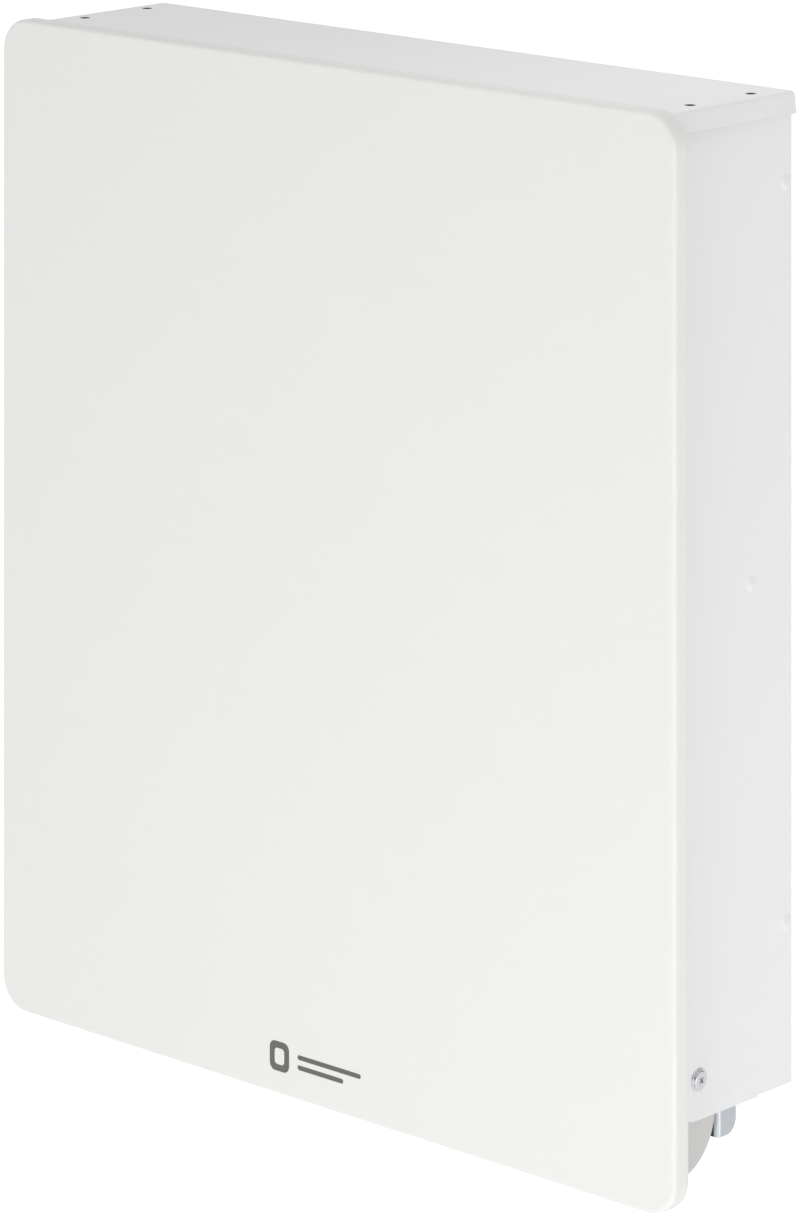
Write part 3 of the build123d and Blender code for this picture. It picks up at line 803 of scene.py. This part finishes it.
def add_strap(side, skins):
    """Flat webbing with a slightly thicker woven edge."""
    path = strap_path(side, skins)
    faces = []
    across = 2 * len(WEB_ROWS)
    for i in range(len(path) - 1):
        for k in range(len(WEB_ROWS) - 1):
            a = i * across + 2 * k
            faces.append((a, a + 2, a + 2 + across, a + across))
            faces.append((a + 1, a + 1 + across, a + 3 + across, a + 3))
        first, last = i * across, i * across + across - 2
        faces.append((first, first + across, first + 1 + across, first + 1))
        faces.append((last, last + 1, last + 1 + across, last + across))
    label = "right" if side > 0 else "left"
    verts = strap_points(side, path)
    made = mesh_object(f"strap_{label}", verts, faces, MATERIALS["strap_fabric"])
    face_outwards(made.data)
    on_flap(made, f"strap_webbing_{label}")


def bar_slot(height, along):
    """A slot for the webbing, across a buckle half."""
    return round_box(4 * MM, height, 1.5 * MM, (along, 0.0))


def add_buckle(skins):
    """A side-release buckle: a mouth with two windows and a slot, and a plug with two slots."""
    depth = BUCKLE_HI.y - BUCKLE_LO.y
    height = BUCKLE_HI.z - BUCKLE_LO.z
    material = MATERIALS["buckle_plastic"]
    middle = buckle_middle(skins)

    width = BUCKLE_HI.x - BUCKLE_LO.x
    centre = (BUCKLE_LO.x + BUCKLE_HI.x) / 2
    loops = [round_box(width, height, 6 * MM)]
    for side in (-1, 1):
        loops.append(round_box(9 * MM, 6 * MM, 2 * MM, (5 * MM, side * (height / 2 - 8 * MM))))
    loops.append(bar_slot(height - 14 * MM, -width / 2 + 6 * MM))
    mouth = moulding("buckle_mouth", loops, depth, 1.6 * MM, material, (centre, middle, STRAP_Z))
    on_flap(mouth, "buckle_socket")

    plug_lo, plug_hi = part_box("buckle_tongue")
    width = plug_hi.x - plug_lo.x
    centre = (plug_lo.x + plug_hi.x) / 2
    loops = [round_box(width, height - 4 * MM, 5 * MM)]
    loops.append(bar_slot(height - 16 * MM, width / 2 - 6 * MM))
    loops.append(bar_slot(height - 16 * MM, width / 2 - 13 * MM))
    plug = moulding("buckle_plug", loops, depth * 0.8, 1.4 * MM, material, (centre, middle, STRAP_Z))
    on_flap(plug, "buckle_tongue")


# Mark on the flap -----------------------------------------------------------

INK_DEPTH = 0.12 * MM
INK_EDGE = 0.02 * MM
RING_X = -37 * MM
RULE_WIDTH = 3.2 * MM

# The two rules of the mark: the middle and the length of each, in millimetres.
RULES = ((9.0, 58.0), (1.0, 42.0))


def add_print(name, loops, x, z, front):
    """One printed shape, lying on the face of the flap."""
    place = (x, front - INK_DEPTH / 2, z)
    made = moulding(name, loops, INK_DEPTH, INK_EDGE, MATERIALS["mark_ink"], place)
    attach(made, "flap")


def add_mark():
    """A plain printed mark: a small ring with two rules beside it."""
    low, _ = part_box("flap_board")
    base = low.z + 26 * MM
    ring = [round_box(18 * MM, 20 * MM, 5 * MM), round_box(9 * MM, 11 * MM, 2.5 * MM)]
    add_print("flap_mark", ring, RING_X, base, low.y)
    for row, (centre, length) in enumerate(RULES):
        rule = [round_box(length * MM, RULE_WIDTH, 1.5 * MM)]
        add_print(f"flap_rule_{row}", rule, centre * MM, base + (3.4 - 6.8 * row) * MM, low.y)


# Camera, light, floor -------------------------------------------------------

CAMERA_SPOT = Vector((2.540, -2.8228, 0.8975))
CAMERA_YAW = math.radians(42.71)
CAMERA_LENS = 162.955
SENSOR_WIDTH = 36.0
FARTHEST_SEEN = 50.0
LENS_ASIDE = 0.005095
LENS_FALL = -1.156532


def add_camera():
    """A level camera with a falling front, so that upright edges stay parallel."""
    data = bpy.data.cameras.new("camera")
    data.sensor_width = SENSOR_WIDTH
    data.lens = CAMERA_LENS
    camera = bpy.data.objects.new("camera", data)
    bpy.context.scene.collection.objects.link(camera)
    camera.location = CAMERA_SPOT
    camera.rotation_euler = (math.pi / 2, 0.0, CAMERA_YAW)
    data.clip_end = FARTHEST_SEEN
    bpy.context.scene.camera = camera
    shift_at_spot(camera, "shift_x", LENS_ASIDE)
    shift_at_spot(camera, "shift_y", LENS_FALL)


def shift_at_spot(camera, channel, amount):
    """The lens shift holds only at the main camera position, so other views stay centred."""
    driver = camera.data.driver_add(channel).driver
    driver.type = "SCRIPTED"
    for axis in "XYZ":
        variable = driver.variables.new()
        variable.name = axis.lower()
        variable.type = "TRANSFORMS"
        variable.targets[0].id = camera
        variable.targets[0].transform_type = f"LOC_{axis}"
    x, y, z = (round(value, 4) for value in camera.location)
    away = f"abs(x - {x}) + abs(y - {y}) + abs(z - {z})"
    driver.expression = f"{amount:.6f} if {away} < 0.01 else 0.0"


# Lamps: name, place, the point each one is turned to, size and watts.
LOW_AIM = (0.1, 0.0, -0.1)
LAMPS = (
    ("key_low_right", (1.3, -2.0, -0.7), LOW_AIM, 1.6, 7.3),
    ("key_low_front", (0.5, -2.3, -0.9), LOW_AIM, 1.4, 19.3),
    ("side_fill", (2.4, 0.0, -0.5), (0.29, -0.07, 0.0), 1.2, 12.4),
    ("top_right", (0.25, -0.02, 0.74), (0.25, -0.07, 0.32), 0.12, 0.34),
)

# The tent's level, and how much is added to it towards +X, +Y and +Z.
TENT_LEVEL = 0.752
TENT_LEAN = (-0.30, 0.053, 0.272)

FLOOR_DROP = 0.85
FLOOR_REACH = 30.0
FLOOR_GLOW = 0.07
FLOOR_WASH = 0.35


def add_lamp(name, spot, aim, size, watts):
    """A square white lamp, turned from its place to a point."""
    data = bpy.data.lights.new(name, "AREA")
    data.shape = "SQUARE"
    data.size = size
    data.energy = watts
    lamp = bpy.data.objects.new(name, data)
    bpy.context.scene.collection.objects.link(lamp)
    lamp.location = spot
    lamp.rotation_euler = (Vector(aim) - Vector(spot)).to_track_quat("-Z", "Y").to_euler()


def add_world():
    """White to the camera; for light, a soft tent, brighter overhead and dimmer on the right."""
    world = bpy.data.worlds.new("studio")
    bpy.context.scene.world = world
    world.use_nodes = True
    tree = world.node_tree
    tree.nodes.clear()
    out = tree.nodes.new("ShaderNodeOutputWorld")
    mix = tree.nodes.new("ShaderNodeMixShader")
    seen = tree.nodes.new("ShaderNodeBackground")
    tent = tree.nodes.new("ShaderNodeBackground")
    path = tree.nodes.new("ShaderNodeLightPath")
    place = tree.nodes.new("ShaderNodeTexCoord")
    lean = tree.nodes.new("ShaderNodeVectorMath")
    lean.operation = "DOT_PRODUCT"
    lean.inputs[1].default_value = TENT_LEAN
    level = tree.nodes.new("ShaderNodeMath")
    level.operation = "ADD"
    level.inputs[1].default_value = TENT_LEVEL
    seen.inputs["Strength"].default_value = 1.0
    seen.inputs["Color"].default_value = (1.0, 1.0, 1.0, 1.0)
    tree.links.new(place.outputs["Generated"], lean.inputs[0])
    tree.links.new(lean.outputs["Value"], level.inputs[0])
    tree.links.new(level.outputs["Value"], tent.inputs["Strength"])
    tree.links.new(path.outputs["Is Camera Ray"], mix.inputs[0])
    tree.links.new(tent.outputs["Background"], mix.inputs[1])
    tree.links.new(seen.outputs["Background"], mix.inputs[2])
    tree.links.new(mix.outputs["Shader"], out.inputs["Surface"])


def add_floor():
    """A pale floor, lit from below for the camera alone, so that it meets the backdrop in white."""
    low = cad_box[0].z - FLOOR_DROP
    corners = ((-1, -1), (1, -1), (1, 1), (-1, 1))
    verts = [(x * FLOOR_REACH, y * FLOOR_REACH, low) for x, y in corners]
    s = Shader("pale_floor", (0.93, 0.93, 0.93), roughness=0.6)
    s.tint(s.noise(1.5), (0.92, 0.92, 0.92), share=0.5)
    s.set(emission_color=(1.0, 1.0, 1.0, 1.0))
    seen = s.nodes.new("ShaderNodeLightPath").outputs["Is Camera Ray"]
    glow = s.ranged(seen, FLOOR_GLOW, FLOOR_GLOW + FLOOR_WASH)
    s.links.new(glow, s.bsdf.inputs["Emission Strength"])
    floor = mesh_object("floor", verts, [(0, 1, 2, 3)], s.material, smooth=False)


def add_studio():
    """Surroundings, floor and lamps, with colours shown as they are."""
    add_world()
    add_floor()
    for lamp in LAMPS:
        add_lamp(*lamp)
    view = bpy.context.scene.view_settings
    view.view_transform = "Standard"
    view.look = "None"


# Build ----------------------------------------------------------------------

dress_cad()
mat_skins = add_mat()
add_strap(1, mat_skins)
add_strap(-1, mat_skins)
add_buckle(mat_skins)
add_mark()
add_camera()
add_studio()
